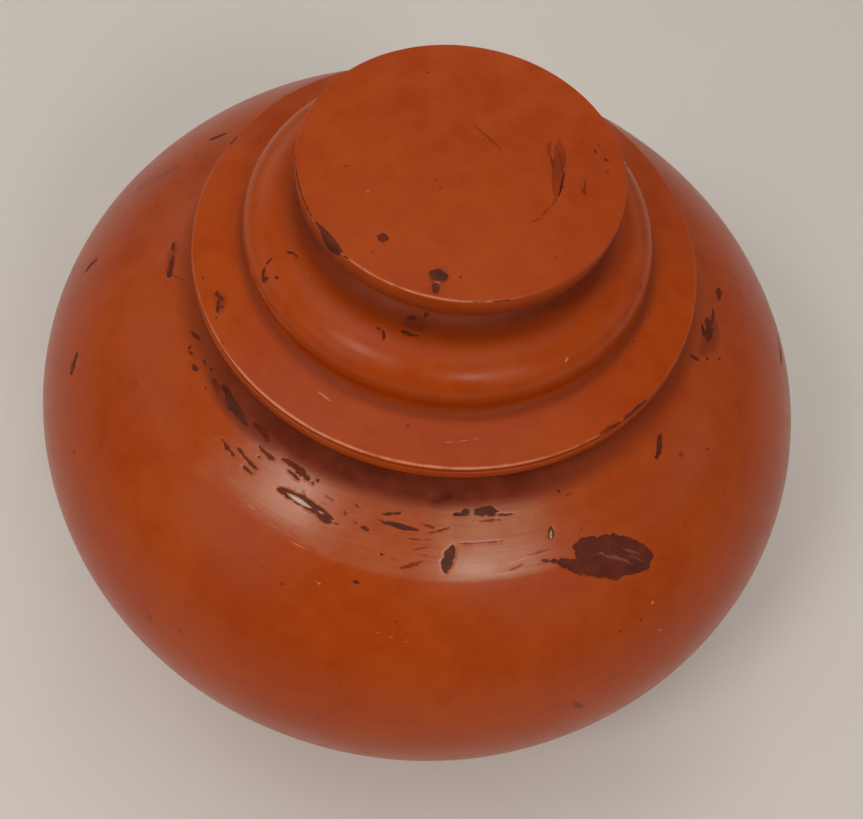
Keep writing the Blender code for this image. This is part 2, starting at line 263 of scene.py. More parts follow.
TOP_SCRATCHES = [(-20.4, -13, -20, -13.4, 0.6), (-2, -34.7, 0.1, -34.9, 0.45)]

# Broken stretches of the knob's edge: azimuths of both ends, reach in over the top, and reach down the side
EDGE_BREAKS = [
    (-141.5, -125, 1.5, 0.8), (-137, -126, 0.8, 3.6), (-174, -139, 0.45, 0), (-127, -116, 0.3, 0.4),
    (-79, -75, 0, 0.5), (-73, -65.5, 0, 0.7),
]


# ---------------- outlines

FINE = 0.04 * MM  # spacing of the samples that an outline is smoothed on
LINE_STEP = 0.1 * MM  # spacing of the points of a measured line
FLUSH = 0.0  # no rounding, where two pieces meet in one surface
JAR_ZERO = 60 * MM  # radius where distances down the jar start


def arc(centre, semi, start, end, steps=120):
    """Points of an ellipse stretch in the (radius, height) plane; angles in degrees from +radius."""
    angles = [math.radians(start + (end - start) * i / steps) for i in range(steps + 1)]
    return [(centre[0] + semi[0] * math.cos(a), centre[1] + semi[1] * math.sin(a)) for a in angles]


def shoulder(start_radius, end_radius, inset=0.0):
    """Shoulder between two radii, on the outer surface or inset from it."""
    semi = (BELLY_RADIUS - inset, SHOULDER_RISE - inset)
    angles = [math.degrees(math.acos(radius / semi[0])) for radius in (start_radius, end_radius)]
    return arc((0.0, BELLY_HEIGHT), semi, *angles)


def lower_belly(start_height, end_height, inset=0.0):
    """Lower half of the belly between two heights, on the outer surface or inset from it."""
    semi = (BELLY_RADIUS - inset, LOWER_DROP - inset)
    heights = (start_height - BELLY_HEIGHT, end_height - BELLY_HEIGHT)
    return arc((0.0, BELLY_HEIGHT), semi, *[math.degrees(math.asin(height / semi[1])) for height in heights])


def top_at(radius):
    """Height of the shoulder's outer surface."""
    return BELLY_HEIGHT + SHOULDER_RISE * math.sqrt(1 - (radius / BELLY_RADIUS) ** 2)


def run_along(points):
    """Distance of each point along its line."""
    return np.concatenate(([0.0], np.cumsum(np.hypot(*np.diff(points, axis=0).T))))


def points_at(points, run, at):
    """Points of the line at the distances `at`."""
    return np.column_stack([np.interp(at, run, points[:, axis]) for axis in (0, 1)])


class Outline:
    """Outline of a turned piece, added stretch by stretch, with the solid on the left of its direction.

    It closes on itself, or it starts and ends on the axis.
    """

    def __init__(self):
        self.corners = []

    def add(self, points, step=1.5 * MM, rounding=0.3 * MM, dark=False, zone=""):
        """One stretch: its row spacing, the rounding of its corners, its coat and its kind of marks."""
        self.corners += [(point, step, rounding, dark, zone) for point in points]

    def on_axis(self):
        return self.corners[0][0][0] == self.corners[-1][0][0] == 0.0

    def smoothed(self):
        """Closely spaced samples of the outline with its corners rounded."""
        corners, steps, rounds, darks, zones = [np.array(column) for column in zip(*self.corners)]
        points = corners if self.on_axis() else np.concatenate((corners, corners[:1]))
        run = run_along(points)
        count = int(run[-1] / FINE)
        at = (np.arange(count) + (0.0 if self.on_axis() else 0.5)) * run[-1] / (count - self.on_axis())
        owner = np.clip(np.searchsorted(run, at, side="right") - 1, 0, len(corners) - 1)
        sample = points_at(points, run, at)
        for _ in range(2):
            sample = self.averaged(sample, (rounds[owner] / FINE).astype(int))
        return sample, at, steps[owner], coat_distance(at, darks[owner], run[-1]), zones[owner]

    def averaged(self, sample, half):
        """Moving average over `half` samples to each side."""
        count = len(sample)
        index = np.arange(count)
        if self.on_axis():
            half = np.minimum(half, np.minimum(index, count - 1 - index))
        sums = np.concatenate((np.zeros((1, 2)), np.cumsum(np.tile(sample, (3, 1)), axis=0)))
        low = index + count - half
        high = index + count + half + 1
        return (sums[high] - sums[low]) / (high - low)[:, None]


def coat_distance(at, dark, total):
    """Distance along the outline to the nearest change of coat: positive on the dark coat."""
    changes = at[np.nonzero(dark != np.roll(dark, 1))[0]]
    if len(changes) == 0:
        return np.where(dark, total, -total)
    gaps = np.abs(at[:, None] - changes[None, :])
    nearest = np.minimum(gaps, total - gaps).min(axis=1)
    return np.where(dark, nearest, -nearest)


def measured_line(corners, zero):
    """Closely spaced points of a line, and the distance of each from the one nearest to `zero`."""
    corners = np.array(corners)
    run = run_along(corners)
    points = points_at(corners, run, np.linspace(0.0, run[-1], int(run[-1] / LINE_STEP) + 2))
    run = run_along(points)
    return points, run - run[np.argmin(np.hypot(*(points - np.array(zero)).T))]


def jar_line():
    """Outer surface of the jar from the neck's foot down to the base."""
    above = shoulder(BELLY_RADIUS, NECK_FOOT_RADIUS - 2 * MM)[::-1]
    below = lower_belly(BELLY_HEIGHT, BASE_UNDERSIDE)
    return measured_line(above + below[1:], (JAR_ZERO, top_at(JAR_ZERO)))


# ---------------- stretches that more than one piece shares

POST_HOLLOW_CENTRE = (MOULDING_TOP_RADIUS - 1 * MM, MOULDING_CROWN + HOLLOW_RADIUS)
POST_JOINT_DROP = math.sqrt(HOLLOW_RADIUS ** 2 - (POST_HOLLOW_CENTRE[0] - POST_RADIUS) ** 2)
POST_JOINT = (POST_RADIUS, POST_HOLLOW_CENTRE[1] - POST_JOINT_DROP)
POST_MARGIN = 0.05 * MM  # the hollow's own points keep this far from the joint
EDGE_ROUND = 0.45 * MM
JOINT_DEPTH = 1.5 * MM  # orange lacquer reaches this far into the joints
COVE_RADIUS = 2.4 * MM  # hollow corner between the brim and the moulding
COVE_CENTRE = (MOULDING_SEAT + 0.8 * MM, FLANGE_SEAT - 0.1 * MM + COVE_RADIUS)
COVE_JOINT = 238  # angle where the moulding's foot meets the brim


def flange_edge():
    """Thin outer edge of the brim."""
    return [
        (FLANGE_RADIUS, FLANGE_UNDERSIDE + 0.1 * MM),
        (FLANGE_RADIUS, FLANGE_HEIGHT),
        (FLANGE_RADIUS - 1.2 * MM, FLANGE_HEIGHT + 0.25 * MM),
        (60 * MM, FLANGE_HEIGHT + 0.95 * MM),
    ]


def flange_top():
    """Top of the brim: it rises gently and turns up into the cove."""
    rise = [(57 * MM, FLANGE_HEIGHT + 1.4 * MM), (55 * MM, FLANGE_HEIGHT + 1.75 * MM)]
    return rise + arc(COVE_CENTRE, (COVE_RADIUS, COVE_RADIUS), 262, COVE_JOINT, 12)


def moulding_outside():
    """Outside of the round moulding, from its foot in the cove to the post."""
    centre = (MOULDING_TOP_RADIUS, MOULDING_HEIGHT)
    semi = (MOULDING_RADIUS - MOULDING_TOP_RADIUS, MOULDING_RISE)
    foot = arc(COVE_CENTRE, (COVE_RADIUS, COVE_RADIUS), COVE_JOINT, 184, 24)
    hollow = [point for point in knob_hollow() if point[0] > POST_RADIUS + POST_MARGIN]
    return foot + arc(centre, semi, -11, 90) + hollow + [POST_JOINT]


def knob_hollow():
    """Hollow curve from the moulding's crown up to the underside of the knob's disc."""
    rise = math.degrees(math.asin((DISC_UNDERSIDE - POST_HOLLOW_CENTRE[1]) / HOLLOW_RADIUS))
    return arc(POST_HOLLOW_CENTRE, (HOLLOW_RADIUS, HOLLOW_RADIUS), 270, 180 - rise)


def lid_line():
    """Visible surface of the lid from under the brim's edge up to the knob's disc."""
    hollow = [point for point in knob_hollow() if point[0] < POST_RADIUS]
    line = flange_edge() + flange_top() + moulding_outside()[1:] + hollow
    return measured_line(line, (FLANGE_RADIUS, FLANGE_HEIGHT))


# ---------------- marks on the surfaces

MARK_KINDS = ("chip", "grey", "thin", "smudge", "scratch")
SHARP_KINDS = ("chip", "grey", "thin", "scratch")
JAR_MARKS = dict(zip(MARK_KINDS, (JAR_CHIPS, JAR_GREY_CHIPS, JAR_THIN_FLAKES, JAR_SMUDGES, JAR_SCRATCHES)))
LID_MARKS = dict(zip(MARK_KINDS, (LID_CHIPS, [], LID_THIN_FLAKES, LID_SMUDGES, LID_SCRATCHES)))
TOP_MARKS = dict(zip(MARK_KINDS, (TOP_CHIPS, TOP_GREY_CHIPS, TOP_THIN_FLAKES, TOP_SMUDGES, TOP_SCRATCHES)))
FAR_OFF = -4.0  # distance where a mark has no effect, millimetres
RAGGED_WIDTH = 2.4  # millimetres: narrower marks have a calmer edge
TOP_CALM = 0.35  # the flat top's marks have cleaner edges
BOW = 0.22  # most that a mark bends, as a share of its width
BLUNTNESS = (0.35, 0.95)  # from rounded to pointed ends
SEEDS = {"turned": 1, "top": 21, "hole": 11, "skin": 12}
RAGGED_SWING = {"chip": 0.22, "grey": 0.18, "thin": 0.30}  # millimetres
RAGGED_REACH = 1.4  # distance from a mark's edge that is made ragged, millimetres
SKIN_RISE = 0.45  # heights and depths of marks, millimetres
CHIP_DEPTH = 0.15
THIN_DEPTH = 0.05
SCRATCH_DEPTH = 0.03
RIDGE_STATION = 26.5  # millimetres down the shoulder
RIDGE_HEIGHT = 0.42 * MM
RIDGE_START = 10
RIDGE_END = 46
RIDGE_FRONT = (-88, 62)  # azimuth in the middle of a front stretch, and its reach to each side
# azimuths in the middle of the rubbed dusty band with painted highlight, and their reach to each side
HAZE_HIGHLIGHT_FRONT = (-88, 31)
HAZE_HIGHLIGHT_LEFT = (-114, 11)
HAZE_HIGHLIGHT_RIGHT = (-73, 10)
# azimuth in the middle of the painted shade under the brim, and its reach to each side
NECK_SHADE_FRONT = (-98, 50)


def fine_noise(points, scale, seed):
    """Smooth noise between -1 and 1 at each point; `scale` is its grain in metres."""
    shift = Vector((seed * 17.3, seed * -5.1, seed * 9.7))
    return np.array([noise.noise(Vector(point) / scale + shift) for point in points])


def splinters(points, size, seed):
    """One random value between -1 and 1 for each small angular cell, as brittle lacquer breaks."""
    shift = Vector((seed * 3.7, seed * -8.3, seed * 1.9))
    nearest = [noise.voronoi(Vector(point) / size + shift)[1][0] for point in points]
    return np.array([noise.cell(cell * 9.1) * 2 - 1 for cell in nearest])


def lens_field(across, down, width, length, bow, blunt):
    """Signed distance to a lens that is `length` long and `width` wide, in millimetres: positive inside."""
    half = length / 2
    shape = 1 - (across / half) ** 2
    inside = width / 2 * np.abs(shape) ** blunt - np.abs(down - bow * shape)
    beyond = -np.hypot(np.maximum(np.abs(across) - half, 0), down)
    return np.where(np.abs(across) < half, inside, np.minimum(beyond, -0.05))


def mark_field(marks, place, seed):
    """Signed distance to the nearest of the marks at each vertex, and that mark's width.

    `place` turns a mark into millimetres.
    """
    draw = np.random.default_rng(seed)
    best = np.float64(FAR_OFF)
    breadth = np.float64(RAGGED_WIDTH)
    for *ends, width in marks:
        x, y, end_x, end_y = place(*ends)
        length = math.hypot(end_x, end_y)
        unit = (end_x / length, end_y / length)
        across = x * unit[0] + y * unit[1]
        down = y * unit[0] - x * unit[1]
        bow = draw.uniform(-BOW, BOW) * width
        field = lens_field(across, down, width, length + 0.2 * width, bow, draw.uniform(*BLUNTNESS))
        breadth = np.where(field > best, width, breadth)
        best = np.maximum(best, field)
    return best, breadth


def polygon_field(corners, x, y):
    """Signed distance to a closed polygon: positive inside."""
    corners = np.array(corners)
    nearest = np.full(x.shape, np.inf)
    inside = np.zeros(x.shape, dtype=bool)
    for start, end in zip(corners, np.roll(corners, -1, axis=0)):
        edge = end - start
        to_x = x - start[0]
        to_y = y - start[1]
        along = np.clip((to_x * edge[0] + to_y * edge[1]) / edge.dot(edge), 0, 1)
        nearest = np.minimum(nearest, np.hypot(to_x - along * edge[0], to_y - along * edge[1]))
        crosses = (start[1] > y) != (end[1] > y)
        inside ^= crosses & (x < start[0] + to_y * edge[0] / edge[1])
    return np.where(inside, nearest, -nearest)


def turn_gap(azimuth, middle):
    """Difference between two azimuths, from -180 to 180 degrees."""
    return (azimuth - middle + 180) % 360 - 180


def bump_at(azimuth, middle, reach):
    """Weight that is 1 at one azimuth and falls to 0 some way past `reach` degrees from it."""
    return np.exp(-(turn_gap(azimuth, middle) / reach) ** 4)


def on_turned(azimuth, station, line):
    """A place function for marks given by azimuth and distance along a turned line."""
    def place(first_azimuth, first_station, last_azimuth, last_station):
        level = (first_station + last_station) / 2
        radius = radius_at(level, line)
        x = np.radians(turn_gap(azimuth, (first_azimuth + last_azimuth) / 2)) * radius
        end_x = math.radians(last_azimuth - first_azimuth) * radius
        return x, station - level, end_x, last_station - first_station
    return place


def on_flat(x, y):
    """A place function for marks given by x and y on the flat top."""
    def place(first_x, first_y, last_x, last_y):
        return x - (first_x + last_x) / 2, y - (first_y + last_y) / 2, last_x - first_x, last_y - first_y
    return place


def radius_at(level, line):
    """Radius of a turned line at a distance along it, both in millimetres."""
    points, stations = line
    return np.interp(level * MM, stations, points[:, 0]) / MM


def leaf_field(azimuth, station, line):
    """Signed distance to the large leaf-shaped flake."""
    turn, level = LEAF_MIDDLE
    radius = radius_at(level, line)
    corners = [(math.radians(corner[0] - turn) * radius, corner[1] - level) for corner in LARGE_LEAF]
    return polygon_field(corners, np.radians(turn_gap(azimuth, turn)) * radius, station - level)


def break_field(azimuth, inset, drop):
    """Signed distance to the broken stretches of the knob's edge.

    `inset` is the distance in from the edge over the top, and `drop` the distance down the side.
    """
    best = np.full(azimuth.shape, FAR_OFF)
    for start, end, reach_in, reach_down in EDGE_BREAKS:
        half = (end - start) / 2
        off = turn_gap(azimuth, (start + end) / 2) / half
        taper = np.abs(1 - off ** 2) ** 0.6
        inside = np.where(drop > 0, reach_down * taper - drop, reach_in * taper - inset)
        beyond = np.maximum(np.abs(off) - 1, 0) * math.radians(half) * DISC_RADIUS / MM
        outside = -np.hypot(beyond, np.maximum(inset, drop)) - 0.05
        best = np.maximum(best, np.where(np.abs(off) < 1, inside, outside))
    return best


def join(fields, kind, where, found):
    """Adds a field to the one of its kind, at the vertices that `where` picks."""
    fields[kind] = np.where(where, np.maximum(fields[kind], found), fields[kind])


def add_marks(fields, widths, marks, place, where, seed, calm=1.0):
    """Adds all marks of one surface to the fields, and notes how wide the nearest ones are."""
    for step, kind in enumerate(MARK_KINDS):
        found, width = mark_field(marks[kind], place, seed + step)
        join(fields, kind, where, found)
        widths[kind] = np.where(where, width * calm, widths[kind])


def add_large_flakes(fields, widths, place, where, leaf):
    """Adds the jar's leaf-shaped flake and its lifted flakes."""
    join(fields, "chip", where, leaf)
    widths["chip"] = np.where(leaf > fields["chip"] - 0.01, RAGGED_WIDTH, widths["chip"])
    join(fields, "chip", where, mark_field([hole for hole, _ in LIFTED_FLAKES], place, SEEDS["hole"])[0])
    join(fields, "skin", where, mark_field([skin for _, skin in LIFTED_FLAKES], place, SEEDS["skin"])[0])


def roughen(fields, widths, place):
    """Makes the marks' edges ragged, as lacquer flakes: wide marks more than narrow ones."""
    for kind, swing in RAGGED_SWING.items():
        near = np.abs(fields[kind]) < RAGGED_REACH
        points = place[near]
        ragged = fine_noise(points, 1.6 * MM, 3) + fine_noise(points, 0.7 * MM, 4) * 0.8
        ragged += splinters(points, 1.2 * MM, 5) * 0.8
        fields[kind][near] += ragged * swing * np.minimum(widths[kind][near] / RAGGED_WIDTH, 1)


def smooth_step(value):
    value = np.clip(value, 0, 1)
    return value * value * (3 - 2 * value)


def recess(fields):
    """How far the surface lies below sound lacquer, in metres and negative."""
    chip = smooth_step(np.maximum(fields["chip"], fields["grey"]) / 0.35 + 0.4)
    thin = smooth_step(fields["thin"] / 0.45 + 0.4)
    scratch = smooth_step(fields["scratch"] / 0.2 + 0.5)
    skin = smooth_step(fields["skin"] / 0.7)
    depth = CHIP_DEPTH * chip + THIN_DEPTH * thin * (1 - chip) + SCRATCH_DEPTH * scratch
    return (SKIN_RISE * skin - depth) * MM


def collar_ridge(azimuth, station):
    """Height of the blunt ridge where the collar meets the shoulder, in metres: strongest round the front."""
    rise = smooth_step((station - RIDGE_START) / (RIDGE_STATION - RIDGE_START)) * (station < RIDGE_STATION)
    fall = smooth_step((RIDGE_END - station) / (RIDGE_END - RIDGE_STATION)) * (station >= RIDGE_STATION)
    return RIDGE_HEIGHT * (rise ** 1.4 + fall ** 1.4) * (0.25 + 0.75 * bump_at(azimuth, *RIDGE_FRONT))


def collar_haze_and_highlight(azimuth, station):
    """Rubbed, dusty band on the collar with painted highlight, from 0 to 1: strongest round the front, where
    the highlights fall, and it ends at the ridge.
    """
    front, left, right = [bump_at(azimuth, *stretch) for stretch in (HAZE_HIGHLIGHT_FRONT, HAZE_HIGHLIGHT_LEFT, HAZE_HIGHLIGHT_RIGHT)]
    fade = 1.6 + 5.5 * left
    band = smooth_step((station - 7) / 4) * smooth_step((RIDGE_STATION + 1.2 - station) / fade)
    return band * (0.04 + 0.30 * front + 0.52 * left + 0.66 * right)


def neck_painted_shade(azimuth, station):
    """Painted shade in the hollow under the brim, from 0 to 1: darkest round the front."""
    return smooth_step((12.5 - station) / 6) * (0.40 + 0.60 * bump_at(azimuth, *NECK_SHADE_FRONT))


# ---------------- turned pieces

FINE_ROW = 0.42 * MM  # row spacing where there are marks
COARSE_TURN = 2.0  # column spacing away from the marks, degrees
DENSE_TURN = 0.05  # steps that columns are worked out on, degrees
LOW_STATION = 40  # marks below this, in millimetres down the jar, lie apart and take a coarser grid
FACET_TURN = math.radians(11)  # most that the outline turns from row to row
CORNER_TURN = math.radians(25)  # turn between two samples that makes a sharp corner
SHARP_TURN = math.radians(50)  # edges sharper than this are shaded as corners
TURN_GROWTH = 0.3  # how fast columns widen away from a mark
POLE_SAMPLES = 8  # samples next to the axis that count as flat
LEAN_FOOT = FLANGE_SEAT + 0.4 * MM  # above this the moulding leans, most in its middle
BELLY_MIDDLE = (0.0, 0.0, 60 * MM)
WAVES = ((42 * MM, 6, 0.16), (13 * MM, 7, 0.045))  # grain, seed, and height in millimetres
WEAR_AND_HIGHLIGHT_LEAST = 0.45  # wear and painted highlight away from an edge's painted highlight stretch
WEAR_AND_HIGHLIGHT_FADE = 8  # degrees over which it changes
REACH = 3  # samples to each side that the outline's direction is taken over


def sharp_marks(marks):
    return [mark for kind in SHARP_KINDS for mark in marks[kind]] if marks else []


def coarseness_at(station):
    return 1.0 if station < LOW_STATION else 1.6


def marked_levels(marks):
    """Stretches of the line, in millimetres, that the sharp marks lie on."""
    spans = [LEAF_LEVELS] if marks is JAR_MARKS else []
    for _, first, _, last, width in sharp_marks(marks):
        margin = width * 0.8
        spans.append((min(first, last) - margin, max(first, last) + margin, coarseness_at(first)))
    return spans


def marked_spans(marks, levels):
    """Azimuth spans of the sharp marks that lie between two levels of the line."""
    spans = []
    for first_turn, first, last_turn, last, width in sharp_marks(marks):
        if max(first, last) + width > levels[0] and min(first, last) - width < levels[1]:
            turns = (min(first_turn, last_turn) - width * 0.5, max(first_turn, last_turn) + width * 0.5)
            spans.append((*turns, coarseness_at(first)))
    if marks is JAR_MARKS and levels[0] < LEAF_LEVELS[1] and levels[1] > LEAF_LEVELS[0]:
        spans.append(LEAF_SPAN)
    if marks is JAR_MARKS and levels[0] < 20:
        spans.append(LIFTED_SPAN)
    return spans


def azimuth_columns(spans, fine):
    """Azimuths round the full circle, close together inside the spans (start, end, coarseness)."""
    dense = np.linspace(-180, 180, round(360 / DENSE_TURN) + 1)
    step = np.full(dense.shape, COARSE_TURN)
    for start, end, coarseness in spans:
        outside = np.abs(turn_gap(dense, (start + end) / 2)) - (end - start) / 2
        step = np.minimum(step, fine * coarseness + np.maximum(outside, 0) * TURN_GROWTH)
    place = np.concatenate(([0.0], np.cumsum(np.diff(dense) * (1 / step[1:] + 1 / step[:-1]) / 2)))
    count = math.ceil(place[-1])
    return np.interp(np.arange(count) * place[-1] / count, place, dense)


def outline_rows(outline, line, marks):
    """Rows of a turned piece and what each row carries, close together where marks are."""
    sample, at, step, coat, zones = outline.smoothed()
    closed = not outline.on_axis()
    tangent, starts = tangents(sample, closed)
    ahead = np.roll(tangent, -REACH, axis=0)
    turning = np.abs(ahead[:, 0] * tangent[:, 1] - ahead[:, 1] * tangent[:, 0])
    bend = np.maximum(turning, np.roll(turning, REACH)) / (REACH * FINE)
    if not closed:
        bend[:POLE_SAMPLES] = bend[-POLE_SAMPLES:] = 0
    station = nearest_station(sample, line)
    step = np.minimum(step, FACET_TURN / np.maximum(bend, 1e-6))
    for low, high, coarseness in marked_levels(marks):
        near = (station > low * MM) & (station < high * MM) & (zones != "")
        step = np.where(near, np.minimum(step, FINE_ROW * coarseness), step)
    step = np.where(zones == "top", np.minimum(step, FINE_ROW), step)
    step = np.maximum(step, 0.1 * MM)
    place = np.concatenate(([0.0], np.cumsum(FINE / ((step[1:] + step[:-1]) / 2))))
    total = place[-1] + (FINE / step[0] if closed else 0.0)
    count = math.ceil(total)
    goal = np.arange(count) * total / count if closed else np.linspace(0, place[-1], count + 1)
    pick = np.clip(np.searchsorted(place, goal), 0, len(sample) - 1)
    if not closed:
        pick[-1] = len(sample) - 1
    pick = np.union1d(pick, np.concatenate((starts, starts - 1)) % len(sample))
    normal = np.column_stack((tangent[:, 1], -tangent[:, 0]))
    if not closed:
        normal[0] = (0.0, np.sign(normal[POLE_SAMPLES, 1]))
        normal[-1] = (0.0, np.sign(normal[-POLE_SAMPLES, 1]))
    columns = {"radius": sample[:, 0], "height": sample[:, 1], "out": normal[:, 0], "up": normal[:, 1],
               "station": station / MM, "coat": coat / MM, "zone": zones, "run": at}
    return {key: column[pick] for key, column in columns.items()}


def tangents(sample, closed):
    """Direction of the outline at each sample, and the samples that start a new stretch after a sharp corner.

    Next to a sharp corner the direction is taken from the sample's own side only.
    """
    count = len(sample)
    before = sample - np.roll(sample, 1, axis=0)
    after = np.roll(before, -1, axis=0)
    sharp = (before * after).sum(axis=1) < np.hypot(*before.T) * np.hypot(*after.T) * math.cos(CORNER_TURN)
    if not closed:
        sharp[[0, -1]] = False
    starts = np.zeros(count, bool)
    for index in np.nonzero(sharp)[0]:
        if not starts[index]:
            starts[(index + 1) % count] = True
    stretch = np.cumsum(starts)
    if closed and not starts[0]:
        stretch[stretch == stretch[-1]] = stretch[0]
    ahead = sample.copy()
    behind = sample.copy()
    index = np.arange(count)
    for shift in range(1, REACH + 1):
        same = (stretch == np.roll(stretch, -shift)) & (closed | (index + shift < count))
        ahead[same] = np.roll(sample, -shift, axis=0)[same]
        same = (stretch == np.roll(stretch, shift)) & (closed | (index >= shift))
        behind[same] = np.roll(sample, shift, axis=0)[same]
    tangent = ahead - behind
    lone = np.hypot(*tangent.T) == 0
    tangent[lone] = (before + after)[lone]
    return tangent / np.hypot(*tangent.T)[:, None], np.nonzero(starts)[0]


def nearest_station(sample, line):
    """Distance along the line of the line's point that is nearest to each sample."""
    if line is None:
        return np.zeros(len(sample))
    points, stations = line
    return stations[[np.argmin(((points - place) ** 2).sum(axis=1)) for place in sample]]


def edge_glow(rows, spots):
    """Strength of wear and painted highlight, or of painted shade, at each row, from spots (radius, height,
    reach, strength).
    """
    best = np.zeros(len(rows["run"]))
    for radius, height, reach, strength in spots:
        gap = np.hypot(rows["radius"] - radius, rows["height"] - height)
        best = np.maximum(best, strength * np.exp(-(gap / reach) ** 2))
    return best


def around(radial, upright, angle):
    """Vectors with a radial and an upright part, turned to their azimuths."""
    return np.stack((radial * np.cos(angle), radial * np.sin(angle), upright), axis=-1)


def turned_piece(name, outline, line=None, marks=None, levels=(0, 0), wear_and_highlight_spots=(), shade_spots=(), painted_highlight_span=None,
                 fine_turn=0.36, spans=(), breaks=False, lean=0.0):
    """One turned piece with its marks cut into it and written to its attributes."""
    rows = outline_rows(outline, line, marks)
    rows["wear_and_highlight"] = edge_glow(rows, wear_and_highlight_spots)
    # painted shade in corners, coves and hollows, and under overhangs
    rows["painted_shade"] = edge_glow(rows, shade_spots)
    turns = azimuth_columns([*spans, *marked_spans(marks, levels)], fine_turn)
    shape = (len(rows["run"]), len(turns))
    grid = {key: np.broadcast_to(column[:, None], shape) for key, column in rows.items()}
    azimuth = np.broadcast_to(turns, shape)
    angle = np.radians(azimuth)
    radius, height, station = (grid[key] for key in ("radius", "height", "station"))
    side = grid["zone"] == "side"
    flat = grid["zone"] == "top"
    place = around(radius, height, angle)

    fields = {kind: np.full(shape, FAR_OFF) for kind in (*MARK_KINDS, "skin")}
    widths = {kind: np.full(shape, RAGGED_WIDTH) for kind in MARK_KINDS}
    if marks:
        turned = on_turned(azimuth, station, line)
        add_marks(fields, widths, marks, turned, side, SEEDS["turned"])
    if marks is JAR_MARKS:
        add_large_flakes(fields, widths, turned, side, leaf_field(azimuth, station, line))
    if flat.any():
        on_top = on_flat(place[..., 0] / MM, place[..., 1] / MM)
        add_marks(fields, widths, TOP_MARKS, on_top, flat, SEEDS["top"], TOP_CALM)
    if breaks:
        inset = np.where(flat, (DISC_RADIUS - radius) / MM, 0.0)
        drop = np.where(flat, 0.0, (DISC_TOP - height) / MM)
        join(fields, "chip", flat | (grid["zone"] == "edge"), break_field(azimuth, inset, drop))
    roughen(fields, widths, place)
    offset = recess(fields)
    join(fields, "chip", True, fields["grey"])

    values = fields | {"haze_and_highlight": np.zeros(shape)} | {key: grid[key] for key in ("wear_and_highlight", "painted_shade", "coat", "run")}
    if marks is JAR_MARKS:
        # rubbed dusty band with painted highlight on the collar
        join(values, "haze_and_highlight", side, collar_haze_and_highlight(azimuth, station))
        # painted shade in the hollow under the brim
        join(values, "painted_shade", side, neck_painted_shade(azimuth, station))
        offset = offset + np.where(side, collar_ridge(azimuth, station), 0.0)
    # wear and painted highlight are brightest over the stretch of the edge that faces the lights, weaker
    # elsewhere
    if painted_highlight_span:
        gap = np.abs(turn_gap(azimuth, (painted_highlight_span[0] + painted_highlight_span[1]) / 2)) - (painted_highlight_span[1] - painted_highlight_span[0]) / 2
        values["wear_and_highlight"] = values["wear_and_highlight"] * (WEAR_AND_HIGHLIGHT_LEAST + (1 - WEAR_AND_HIGHLIGHT_LEAST) / (1 + np.exp(gap / WEAR_AND_HIGHLIGHT_FADE)))

    offset = np.where(np.abs(radius) < 1e-9, 0.0, offset)
    place = place + unevenness(place)[..., None] * outward(place)
    place = place + offset[..., None] * around(grid["out"], grid["up"], angle)
    rise = np.clip((height - LEAN_FOOT) / (MOULDING_CROWN - LEAN_FOOT), 0, 1)
    place[..., 0] += lean * np.sin(rise * math.pi)
    place[..., 2] = np.maximum(place[..., 2], 0.0)
    return turned_mesh(name, place, values, outline.on_axis())


def outward(place):
    """Direction away from the middle of the jar, so that pieces which meet are bent alike."""
    away = place - np.array(BELLY_MIDDLE)
    return away / np.linalg.norm(away, axis=-1, keepdims=True)


def unevenness(place):
    """Slight waves of hand-turned, hand-lacquered work, in metres."""
    points = place.reshape(-1, 3)
    waves = sum(fine_noise(points, grain, seed) * height for grain, seed, height in WAVES)
    return (waves * MM).reshape(place.shape[:2])


def turned_mesh(name, place, values, on_axis):
    """Mesh of a grid of rows and columns that closes round the axis, and on itself or at two poles."""
    rows, columns = place.shape[:2]
    if on_axis:
        here = 1 + np.arange(columns)
        beside = 1 + (here % columns)
        last = (rows - 2) * columns + 1
        faces = (grid_quads(rows - 2, columns, False) + 1).tolist()
        faces += np.column_stack((np.zeros(columns, int), beside, here)).tolist()
        top = last - 1 - columns
        faces += np.column_stack((np.full(columns, last), top + here, top + beside)).tolist()
    else:
        faces = grid_quads(rows, columns, True).tolist()

    def listed(grid):
        if on_axis:
            return np.concatenate((grid[:1, 0], *grid[1:-1], grid[-1:, 0]))
        return np.concatenate(grid)

    mesh = bpy.data.meshes.new(name)
    mesh.from_pydata(listed(place).tolist(), [], faces)
    for key, grid in values.items():
        data = np.ascontiguousarray(listed(grid), np.float32)
        mesh.attributes.new(key, "FLOAT", "POINT").data.foreach_set("value", data)
    mesh.validate()
    mesh.shade_smooth()
    mesh.set_sharp_from_angle(angle=SHARP_TURN)
    piece = bpy.data.objects.new(name, mesh)
    bpy.context.scene.collection.objects.link(piece)
    return piece


def grid_quads(rows, columns, closed):
    """Four-sided faces between neighbouring rows and columns."""
    here = np.arange(columns)
    beside = (here + 1) % columns
    lower = np.arange(rows if closed else rows - 1)[:, None] * columns
    upper = (lower + columns) % (rows * columns)
    corners = (lower + here, lower + beside, upper + beside, upper + here)
    return np.stack(corners, axis=-1).reshape(-1, 4)


# ---------------- jar


